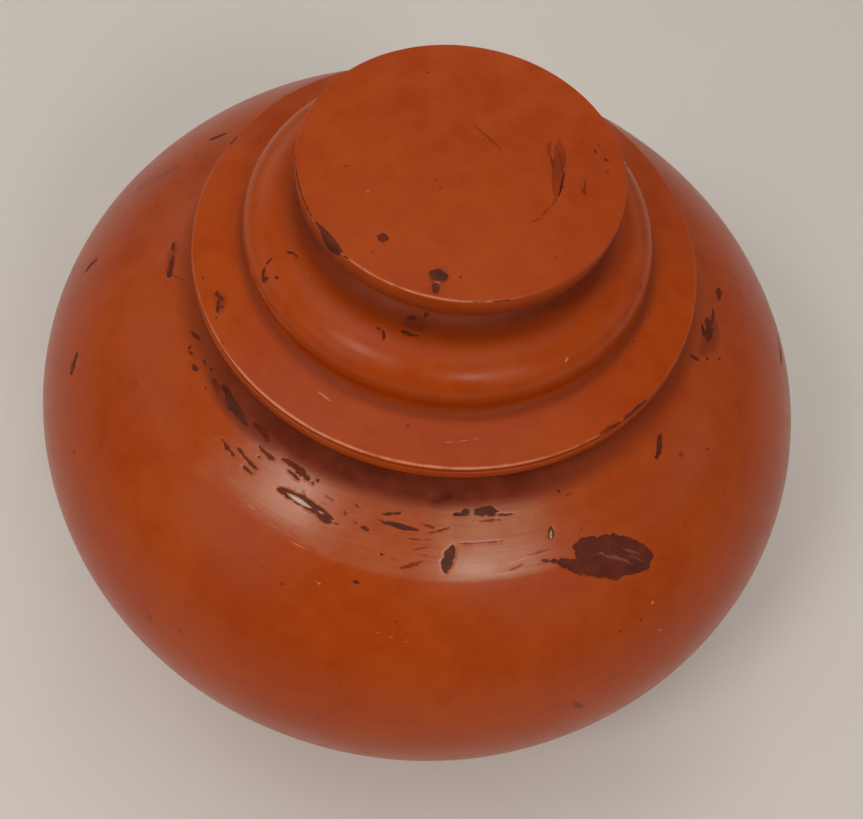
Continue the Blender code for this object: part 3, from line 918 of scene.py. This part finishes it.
def jar_foot():
    outline = Outline()
    outline.add([(FOOT_BORE, 0.0), (FOOT_RADIUS, 0.0)], rounding=0.5 * MM, dark=True)
    outline.add([(FOOT_RADIUS + 0.1 * MM, 0.3 * MM), (FOOT_TOP_RADIUS, FOOT_HEIGHT)], step=0.8 * MM)
    outline.add([(FOOT_TOP_RADIUS, BASE_UNDERSIDE), (FOOT_BORE, BASE_UNDERSIDE)], rounding=0.12 * MM)
    outline.add([(FOOT_BORE, BASE_UNDERSIDE - 0.1 * MM), (FOOT_BORE, 0.1 * MM)], dark=True)
    wear_and_highlight_spots = [(FOOT_RADIUS, 0.2 * MM, 0.9 * MM, 1.0), (FOOT_BORE, 0.2 * MM, 0.7 * MM, 0.8)]
    # painted shade in the corner at the foot's top
    shade_spots = [(FOOT_TOP_RADIUS, FOOT_HEIGHT, 1.6 * MM, 0.9)]
    return turned_piece("jar_foot", outline, wear_and_highlight_spots=wear_and_highlight_spots, shade_spots=shade_spots)


def jar_base():
    outline = Outline()
    outline.add([(0.0, BASE_UNDERSIDE), (BASE_SEAT, BASE_UNDERSIDE)], step=2 * MM, dark=True)
    outline.add([(BASE_SEAT, BASE_TOP), (0.0, BASE_TOP)], step=2 * MM, dark=True)
    # painted shade round the base's top edge, in the corner inside the jar
    return turned_piece("jar_base", outline, shade_spots=[(BASE_RADIUS, BASE_TOP, 2.5 * MM, 0.9)])


def jar_lower_belly():
    outline = Outline()
    outer = lower_belly(BASE_UNDERSIDE, BELLY_HEIGHT)
    outline.add(outer, step=2.2 * MM, zone="side", rounding=FLUSH)
    outline.add(outer[-1:], rounding=FLUSH)
    outline.add(lower_belly(BELLY_HEIGHT, BASE_TOP, WALL), step=3 * MM, dark=True, rounding=FLUSH)
    outline.add([(BASE_SEAT, BASE_TOP), (BASE_SEAT, BASE_UNDERSIDE)], dark=True, rounding=0.15 * MM)
    # painted shade under the belly where it meets the foot
    shade_spots = [(FOOT_TOP_RADIUS + 1 * MM, BASE_UNDERSIDE, 2.2 * MM, 1.0)]
    return turned_piece("jar_lower_belly", outline, JAR_LINE, JAR_MARKS, (86, 150), shade_spots=shade_spots)


def jar_shoulder():
    outline = Outline()
    outer = shoulder(BELLY_RADIUS, COLLAR_RADIUS)
    inner = shoulder(COLLAR_RADIUS - WALL / 2, BELLY_RADIUS - WALL, WALL)
    outline.add(outer, step=1.8 * MM, zone="side", rounding=FLUSH)
    outline.add(outer[-1:], rounding=FLUSH)
    outline.add(inner, step=3 * MM, dark=True, rounding=FLUSH)
    outline.add([(BELLY_RADIUS - WALL, BELLY_HEIGHT)], rounding=FLUSH)
    return turned_piece("jar_shoulder", outline, JAR_LINE, JAR_MARKS, (22, 86), fine_turn=0.34)


def jar_collar():
    """Collar of the shoulder with the short hollow neck."""
    foot_level = top_at(NECK_FOOT_RADIUS)
    hollow = (NECK_FOOT_RADIUS - NECK_RADIUS, (RIM_UNDERSIDE - foot_level) / 2)
    inner = shoulder(NECK_BORE + WALL, COLLAR_RADIUS - WALL / 2, WALL)
    seat = [(NECK_FOOT_RADIUS - 1 * MM, RIM_UNDERSIDE), (NECK_BORE, RIM_UNDERSIDE)]
    outline = Outline()
    outline.add(shoulder(COLLAR_RADIUS, NECK_FOOT_RADIUS), step=1.2 * MM, zone="side", rounding=FLUSH)
    outline.add(arc((NECK_FOOT_RADIUS, foot_level + hollow[1]), hollow, 250, 110), step=0.7 * MM,
                zone="side", rounding=0.2 * MM)
    outline.add(seat, rounding=0.1 * MM, dark=True)
    outline.add([(NECK_BORE, inner[0][1] + WALL / 2)], dark=True, rounding=1 * MM)
    outline.add(inner, dark=True, rounding=FLUSH)
    outline.add(inner[-1:], rounding=FLUSH)
    # painted shade in the hollow neck under the brim
    shade_spots = [(NECK_RADIUS, foot_level + 1 * MM, 4 * MM, 0.9)]
    return turned_piece("jar_collar", outline, JAR_LINE, JAR_MARKS, (-1, 24), shade_spots=shade_spots)


def jar_mouth_rim():
    outline = Outline()
    outline.add([(RIM_BORE, RIM_UNDERSIDE), (RIM_RADIUS, RIM_UNDERSIDE)], rounding=EDGE_ROUND)
    outline.add([(RIM_RADIUS, RIM_TOP), (RIM_BORE, RIM_TOP)], rounding=EDGE_ROUND, step=1 * MM)
    # faint wear and painted highlight on the rim's outer top edge, wear on the bore's edge
    wear_and_highlight_spots = [(RIM_RADIUS, RIM_TOP, 0.5 * MM, 0.35), (RIM_BORE, RIM_TOP, 0.9 * MM, 1.0)]
    # painted shade under the rim
    shade_spots = [(NECK_FOOT_RADIUS, RIM_UNDERSIDE, 2 * MM, 0.9)]
    return turned_piece("jar_mouth_rim", outline, wear_and_highlight_spots=wear_and_highlight_spots, shade_spots=shade_spots, fine_turn=1.0)


# ---------------- lid


def lid_brim():
    joint = flange_top()[-1]
    outline = Outline()
    outline.add([(SPIGOT_BORE, FLANGE_UNDERSIDE), (58 * MM, FLANGE_UNDERSIDE)], rounding=0.2 * MM, dark=True)
    outline.add([(59 * MM, FLANGE_UNDERSIDE), (FLANGE_RADIUS - 0.2 * MM, FLANGE_UNDERSIDE)])
    outline.add(flange_edge(), step=0.8 * MM, rounding=0.35 * MM, zone="side")
    outline.add(flange_top(), step=0.8 * MM, rounding=FLUSH, zone="side")
    outline.add([joint], rounding=FLUSH)
    outline.add([(joint[0] - JOINT_DEPTH, joint[1]), (SPIGOT_BORE, joint[1])], dark=True, rounding=FLUSH)
    # wear and painted highlight on the brim's edge, brightest round the front
    wear_and_highlight_spots = [(FLANGE_RADIUS - 0.1 * MM, FLANGE_HEIGHT, 0.55 * MM, 1.0)]
    # painted shade in the cove between the brim and the moulding
    shade_spots = [(*joint, 1.5 * MM, 0.55)]
    return turned_piece("lid_brim", outline, LID_LINE, LID_MARKS, (-2, 14), wear_and_highlight_spots, shade_spots, painted_highlight_span=(-140, -62))


def lid_locating_ring():
    outline = Outline()
    bottom = [(SPIGOT_BORE, SPIGOT_BOTTOM), (SPIGOT_RADIUS - 1 * MM, SPIGOT_BOTTOM)]
    outline.add(bottom, rounding=0.4 * MM, dark=True)
    outline.add([(SPIGOT_RADIUS, SPIGOT_BOTTOM + 1 * MM), (SPIGOT_RADIUS, FLANGE_UNDERSIDE)], dark=True)
    outline.add([(SPIGOT_BORE, FLANGE_UNDERSIDE)], dark=True)
    wear_and_highlight_spots = [(SPIGOT_RADIUS - 0.5 * MM, SPIGOT_BOTTOM + 0.5 * MM, 1.2 * MM, 0.8)]
    # painted shade in the corner under the brim
    shade_spots = [(SPIGOT_RADIUS, FLANGE_UNDERSIDE, 1.5 * MM, 0.8)]
    return turned_piece("lid_locating_ring", outline, wear_and_highlight_spots=wear_and_highlight_spots, shade_spots=shade_spots)


def lid_round_moulding():
    outside = moulding_outside()
    joint = outside[0]
    semi = (MOULDING_RADIUS - MOULDING_TOP_RADIUS - MOULDING_WALL, MOULDING_RISE - MOULDING_WALL)
    outline = Outline()
    outline.add(outside, step=0.9 * MM, zone="side", rounding=FLUSH)
    outline.add([POST_JOINT, (POST_RADIUS, MOULDING_CEILING)], rounding=FLUSH)
    outline.add(arc((MOULDING_TOP_RADIUS, MOULDING_HEIGHT), semi, 90, 0), dark=True)
    outline.add([(MOULDING_TOP_RADIUS + semi[0], joint[1])], rounding=FLUSH, dark=True)
    outline.add([(joint[0] - JOINT_DEPTH, joint[1])], rounding=FLUSH)
    # painted highlight along the moulding's widest circle, brightest on the left
    wear_and_highlight_spots = [(MOULDING_RADIUS, MOULDING_HEIGHT, 1.8 * MM, 0.7)]
    # painted shade in the cove and in the hollow under the knob
    shade_spots = [(*joint, 1.5 * MM, 0.55), (POST_RADIUS, MOULDING_CROWN, 4 * MM, 0.7)]
    return turned_piece("lid_round_moulding", outline, LID_LINE, LID_MARKS, (13, 36), wear_and_highlight_spots, shade_spots,
                        painted_highlight_span=(-176, -128), fine_turn=0.45, lean=-0.5 * MM)


def lid_knob_post():
    """Post of the knob: its hollow curve shows, and its tenon goes up through the disc."""
    hollow = [point for point in knob_hollow() if point[0] < POST_RADIUS - POST_MARGIN]
    outline = Outline()
    outline.add([(0.0, MOULDING_CEILING)], step=2 * MM, dark=True)
    outline.add([(POST_RADIUS, MOULDING_CEILING)], rounding=FLUSH)
    outline.add([POST_JOINT] + hollow, step=0.8 * MM, zone="side", rounding=FLUSH)
    outline.add([(TENON_RADIUS, DISC_UNDERSIDE)], rounding=FLUSH)
    outline.add([(TENON_RADIUS, DISC_TOP), (0.0, DISC_TOP)], rounding=FLUSH, zone="top")
    # painted shade in the hollow under the knob's disc
    shade_spots = [(hollow[-1][0], DISC_UNDERSIDE, 4.4 * MM, 0.95), (POST_RADIUS, MOULDING_CROWN, 4 * MM, 0.7)]
    return turned_piece("lid_knob_post", outline, LID_LINE, LID_MARKS, (34, 44), shade_spots=shade_spots, fine_turn=0.9,
                        spans=[ALL_ROUND])


def lid_knob_disc():
    base_radius = DISC_RADIUS - 0.3 * MM
    side = [(base_radius, DISC_UNDERSIDE + 0.5 * MM), (DISC_RADIUS, DISC_TOP - 2.2 * MM),
            (DISC_RADIUS, DISC_TOP - 0.1 * MM)]
    outline = Outline()
    outline.add([(TENON_RADIUS, DISC_UNDERSIDE), (base_radius - 0.2 * MM, DISC_UNDERSIDE)])
    outline.add(side, step=0.5 * MM, rounding=0.35 * MM, zone="edge")
    outline.add([(DISC_RADIUS - 0.1 * MM, DISC_TOP)], zone="top")
    outline.add([(TENON_RADIUS + 1 * MM, DISC_TOP)], rounding=FLUSH, zone="top")
    outline.add([(TENON_RADIUS, DISC_TOP)], rounding=FLUSH)
    # wear and painted highlight on the knob's edge, brightest at the front left
    wear_and_highlight_spots = [(DISC_RADIUS, DISC_TOP, 0.5 * MM, 1.0)]
    # painted shade on the disc's side, under its edge
    shade_spots = [(base_radius, DISC_UNDERSIDE, 3 * MM, 0.65)]
    return turned_piece("lid_knob_disc", outline, wear_and_highlight_spots=wear_and_highlight_spots, shade_spots=shade_spots, painted_highlight_span=(-125, -75), fine_turn=0.6,
                        spans=[ALL_ROUND], breaks=True)


# ---------------- materials


class Value:
    """Output of a material's node; +, - and * join it to other values."""

    def __init__(self, nodes, socket):
        self.nodes = nodes
        self.socket = socket

    def __add__(self, other):
        return self.nodes.math("ADD", self, other)

    def __sub__(self, other):
        return self.nodes.math("SUBTRACT", self, other)

    def __mul__(self, other):
        return self.nodes.math("MULTIPLY", self, other)


class Nodes:
    """Short ways to add and join a material's nodes."""

    def __init__(self, name):
        self.material = bpy.data.materials.new(name)
        self.material.use_nodes = True
        self.tree = self.material.node_tree
        self.place = self.node("TexCoord", "Object", {})

    def surface(self, inputs):
        """Sets inputs of the material's own shader."""
        for key, value in inputs.items():
            self.put(self.tree.nodes["Principled BSDF"].inputs[key], value)
        return self.material

    def put(self, socket, value):
        if isinstance(value, Value):
            self.tree.links.new(value.socket, socket)
        elif socket.type == "RGBA":
            socket.default_value = (*value, 1.0)
        else:
            socket.default_value = value

    def node(self, kind, output, inputs, **settings):
        """Adds a node with its inputs and settings."""
        node = self.tree.nodes.new("ShaderNode" + kind)
        for key, setting in settings.items():
            setattr(node, key, setting)
        for key, value in inputs.items():
            self.put(node.inputs[key], value)
        return Value(self, node.outputs[output])

    def attribute(self, name):
        return self.node("Attribute", "Fac", {}, attribute_name=name)

    def math(self, operation, first, second):
        return self.node("Math", 0, {0: first, 1: second}, operation=operation)

    def spread(self, value, low, high, to_low=0.0, to_high=1.0):
        """Smooth step from one range to another."""
        inputs = {"Value": value, "From Min": low, "From Max": high, "To Min": to_low, "To Max": to_high}
        return self.node("MapRange", 0, inputs, interpolation_type="SMOOTHSTEP")

    def mix(self, factor, first, second):
        return self.node("Mix", 2, {"Factor": factor, 6: first, 7: second}, data_type="RGBA")

    def noise(self, scale, detail, roughness):
        inputs = {"Vector": self.place, "Scale": scale, "Detail": detail, "Roughness": roughness}
        return self.node("TexNoise", "Fac", inputs)

    def streaks(self, scale, detail, roughness, run):
        """Noise that is drawn out round the axis and changes along `run`."""
        flat = self.node("VectorMath", 0, {0: self.place, 1: (1.0, 1.0, 0.0)}, operation="MULTIPLY")
        turn = self.node("VectorMath", 0, {0: flat}, operation="NORMALIZE")
        inputs = {"Vector": turn, "Scale": scale, "Detail": detail, "Roughness": roughness}
        streaks = self.node("TexNoise", "Fac", inputs, noise_dimensions="4D")
        self.put(streaks.socket.node.inputs["W"], run)
        return streaks

    def bump(self, height, distance, below=None):
        inputs = {"Height": height, "Distance": distance} | ({"Normal": below} if below else {})
        return self.node("Bump", 0, inputs)


ORANGE = (0.390, 0.0520, 0.0016)
DEEP_ORANGE = (0.310, 0.0320, 0.0008)
PALE_ORANGE = (0.440, 0.0740, 0.0050)
# wear and painted highlight on edges, and pale scratches
WEAR_AND_HIGHLIGHT_ORANGE = (0.720, 0.2700, 0.1500)
# rubbed dust and painted highlight on the collar, and pale scratches in flakes
DUST_AND_HIGHLIGHT_ORANGE = (0.470, 0.2150, 0.1250)
# dark specks, and painted shade in corners, hollows and under the brim
SPECK_AND_SHADE_BROWN = (0.090, 0.0080, 0.0010)
GROUND = (0.080, 0.0110, 0.0035)
GROUND_RED = (0.150, 0.0200, 0.0050)
GREY_GROUND = (0.072, 0.0115, 0.0040)
GREY_GROUND_PALE = (0.125, 0.0360, 0.0170)
UNDERCOAT = (0.165, 0.0190, 0.0030)
# painted glint on the lifted skin
SKIN_GLINT_PALE = (0.680, 0.5200, 0.4300)
DARK_COAT = (0.042, 0.0180, 0.0110)
DARK_COAT_WORN = (0.085, 0.0450, 0.0280)
FLOOR_GREY = (0.700, 0.6850, 0.6650)
FLOOR_PALE = (0.750, 0.7350, 0.7150)


def lacquer_material():
    """Worn satin orange lacquer over a dark ground, with painted highlights on edges and collar and painted
    shade in hollows; the coat inside the jar and the lid is dark.
    """
    n = Nodes("orange_lacquer")
    blotch = n.noise(26, 3, 0.55)
    mottle = n.noise(150, 4, 0.6)
    grain = n.noise(1500, 3, 0.6)
    streak = n.streaks(4.0, 3, 0.6, n.attribute("run") * 1400.0)
    tint = n.spread(blotch * 0.45 + mottle * 0.35 + streak * 0.20, 0.36, 0.64)
    colour = n.mix(0.55, n.mix(tint, DEEP_ORANGE, PALE_ORANGE), ORANGE)
    colour = n.mix(n.spread(grain, 0.35, 0.75, 0.0, 0.16), colour, DEEP_ORANGE)

    cells = n.node("TexVoronoi", "Distance", {"Vector": n.place, "Scale": 420.0})
    specks = n.math("LESS_THAN", cells, n.spread(n.noise(90, 2, 0.5), 0.58, 0.72, 0.0, 0.18))
    colour = n.mix(specks * 0.45, colour, SPECK_AND_SHADE_BROWN)
    # rubbed dusty band on the collar with painted highlight
    haze_and_highlight = n.attribute("haze_and_highlight")
    rubbed_and_highlight = haze_and_highlight * n.spread(streak + mottle * 0.5, 0.55, 0.95, 0.35, 0.75)
    colour = n.mix(rubbed_and_highlight, colour, DUST_AND_HIGHLIGHT_ORANGE)

    ragged = (n.noise(2600, 3, 0.6) - 0.5) * 0.42
    smudge = n.spread(n.attribute("smudge") + ragged * 2.0, -1.3, 1.2, 0.0, 0.65)
    colour = n.mix(smudge, colour, UNDERCOAT)
    # painted shade in corners, hollows, under the brim and under the knob's disc
    painted_shade = n.attribute("painted_shade") * n.spread(mottle, 0.2, 0.7, 0.70, 1.0)
    colour = n.mix(painted_shade * 0.90, colour, SPECK_AND_SHADE_BROWN)
    # wear and painted highlight on edges
    wear_and_highlight = n.attribute("wear_and_highlight") * n.spread(n.noise(240, 4, 0.65), 0.30, 0.60, 0.60, 1.0)
    colour = n.mix(n.spread(wear_and_highlight, 0.25, 0.95, 0.0, 0.8), colour, WEAR_AND_HIGHLIGHT_ORANGE)
    scratch = n.spread(n.attribute("scratch") + ragged, -0.06, 0.10, 0.0, 0.55)
    colour = n.mix(scratch, colour, WEAR_AND_HIGHLIGHT_ORANGE)

    thin = n.spread(n.attribute("thin") + ragged, -0.08, 0.10)
    colour = n.mix(thin * 0.9, colour, n.mix(n.spread(mottle, 0.3, 0.8), UNDERCOAT, DEEP_ORANGE))
    chip = n.spread(n.attribute("chip") + ragged, -0.05, 0.07)
    patches = n.noise(240, 5, 0.7) * 0.6 + streak * 0.4
    ground = n.mix(n.spread(patches, 0.36, 0.66), GROUND, GROUND_RED)
    grey = n.spread(n.attribute("grey") + ragged, -0.20, 0.25)
    ground = n.mix(grey, ground, n.mix(n.spread(patches, 0.40, 0.72), GREY_GROUND, GREY_GROUND_PALE))
    colour = n.mix(chip, colour, ground)
    colour = n.mix(scratch * chip * 0.5, colour, DUST_AND_HIGHLIGHT_ORANGE)
    # painted glint on the lifted skin
    skin = n.spread(n.attribute("skin") + ragged, 0.0, 0.50)
    colour = n.mix(skin * 0.9, colour, SKIN_GLINT_PALE)

    wander = (n.noise(180, 3, 0.6) - 0.5) * 1.6
    dark = n.spread(n.attribute("coat") + wander, -0.12, 0.12)
    inside = n.mix(n.spread(blotch, 0.3, 0.7, 0.0, 0.5), DARK_COAT, DARK_COAT_WORN)
    inside = n.mix(n.spread(wear_and_highlight, 0.3, 0.9, 0.0, 0.6), inside, DARK_COAT_WORN)
    colour = n.mix(dark, colour, inside)

    rough = n.spread(mottle, 0.25, 0.75, 0.27, 0.36) + (streak - 0.5) * 0.10
    rough = rough + chip * 0.22 + painted_shade * 0.45 - haze_and_highlight * 0.09 - skin * 0.20
    relief = streak * 0.30 + grain * 0.22 + n.noise(700, 3, 0.6) * 0.48
    broken = chip * n.spread(n.noise(1300, 4, 0.7), 0.2, 0.8, -1.0, -0.5)
    normal = n.bump(broken, 0.12 * MM, n.bump(relief, 0.025 * MM))
    return n.surface({"Base Color": colour, "Roughness": rough, "Normal": normal, "IOR": 1.5,
                      "Specular IOR Level": 0.20})


def floor_material():
    n = Nodes("floor")
    colour = n.mix(n.noise(9, 3, 0.5), FLOOR_GREY, FLOOR_PALE)
    grain = n.bump(n.noise(900, 3, 0.6), 0.05 * MM)
    return n.surface({"Base Color": colour, "Roughness": 0.7, "Normal": grain})


# ---------------- stage


WARM_WHITE = (1.0, 0.93, 0.85)
FLOOR_SIZE = 3.0  # half its width, metres
LIGHTS_AIM = Vector((0.0, 0.0, 0.13))
CAMERA_LENS = 50.06
CAMERA_PLACE = (0.0, -0.19224, 0.39120)
CAMERA_TURN = (0.5222, -0.0991, 0.1493)


def make_floor():
    corners = [(x * FLOOR_SIZE, y * FLOOR_SIZE, 0) for x, y in ((-1, -1), (1, -1), (1, 1), (-1, 1))]
    mesh = bpy.data.meshes.new("floor")
    mesh.from_pydata(corners, [], [(0, 1, 2, 3)])
    mesh.materials.append(floor_material())
    floor = bpy.data.objects.new("floor", mesh)
    bpy.context.scene.collection.objects.link(floor)


def make_camera():
    """Close above the front, tilted a little, as a hand-held camera."""
    data = bpy.data.cameras.new("camera")
    data.sensor_width = 36
    data.lens = CAMERA_LENS
    camera = bpy.data.objects.new("camera", data)
    camera.location = CAMERA_PLACE
    camera.rotation_euler = Euler(CAMERA_TURN)
    bpy.context.scene.collection.objects.link(camera)
    bpy.context.scene.camera = camera


def area_light(name, azimuth, elevation, distance, size, watts):
    """A soft rectangular light that faces the jar's shoulder; `size` is its width and height."""
    data = bpy.data.lights.new(name, "AREA")
    data.shape = "RECTANGLE"
    data.size, data.size_y = size
    data.energy = watts
    data.color = WARM_WHITE
    light = bpy.data.objects.new(name, data)
    turn = math.radians(azimuth)
    rise = math.radians(elevation)
    towards = Vector((math.cos(rise) * math.cos(turn), math.cos(rise) * math.sin(turn), math.sin(rise)))
    light.location = LIGHTS_AIM + towards * distance
    light.rotation_euler = towards.to_track_quat("Z", "Y").to_euler()
    bpy.context.scene.collection.objects.link(light)


def make_lights():
    """Two windows for the reflections on the collar, a ring of low fill lights and a ceiling."""
    area_light("left_window", -130, 50, 1.2, (0.24, 0.20), 3.0)
    area_light("right_window", -64, 42, 1.2, (0.24, 0.20), 2.3)
    area_light("far_right_window", -46, 42, 1.2, (0.22, 0.20), 0.8)
    for azimuth, watts in ((-135, 2.1), (-45, 1.2), (0, 0.9), (45, 0.8), (90, 2.3), (135, 1.65), (180, 1.2)):
        area_light(f"fill_{azimuth}", azimuth, 22, 1.5, (0.8, 0.5), watts)
    area_light("ceiling", 0, 89, 1.3, (0.9, 0.9), 2.1)
    area_light("ceiling_left", 180, 66, 1.3, (0.6, 0.5), 1.55)
    area_light("ceiling_back", 90, 66, 1.3, (0.6, 0.5), 1.1)
    area_light("ceiling_right", 0, 70, 1.3, (0.6, 0.5), 0.45)
    world = bpy.data.worlds.new("soft_room")
    bpy.context.scene.world = world
    world.use_nodes = True
    background = world.node_tree.nodes["Background"]
    background.inputs["Color"].default_value = (*WARM_WHITE, 1.0)
    background.inputs["Strength"].default_value = 0.117
    bpy.context.scene.view_settings.view_transform = "Standard"


# ---------------- assembly

JAR_LINE = jar_line()
LID_LINE = lid_line()

make_camera()
make_lights()
make_floor()

lacquer = lacquer_material()
for make, node, body, slot in (
        (jar_foot, "foot_ring", "jar", "orange_lacquer"),
        (jar_base, "base_disc", "jar", "dark_lacquer"),
        (jar_lower_belly, "lower_shell", "jar", "orange_lacquer"),
        (jar_shoulder, "upper_shell", "jar", "orange_lacquer"),
        (jar_collar, "neck_ring", "jar", "orange_lacquer"),
        (jar_mouth_rim, "mouth_rim", "jar", "orange_lacquer"),
        (lid_brim, "lid_flange", "lid", "orange_lacquer"),
        (lid_locating_ring, "lid_spigot", "lid", "dark_lacquer"),
        (lid_round_moulding, "lid_moulding", "lid", "orange_lacquer"),
        (lid_knob_post, "lid_post", "lid", "orange_lacquer"),
        (lid_knob_disc, "lid_top_disc", "lid", "orange_lacquer")):
    piece = make()
    piece.data.materials.append(lacquer)
    print(piece.name, len(piece.data.polygons), "faces")
    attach(piece, body)
    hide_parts(node)
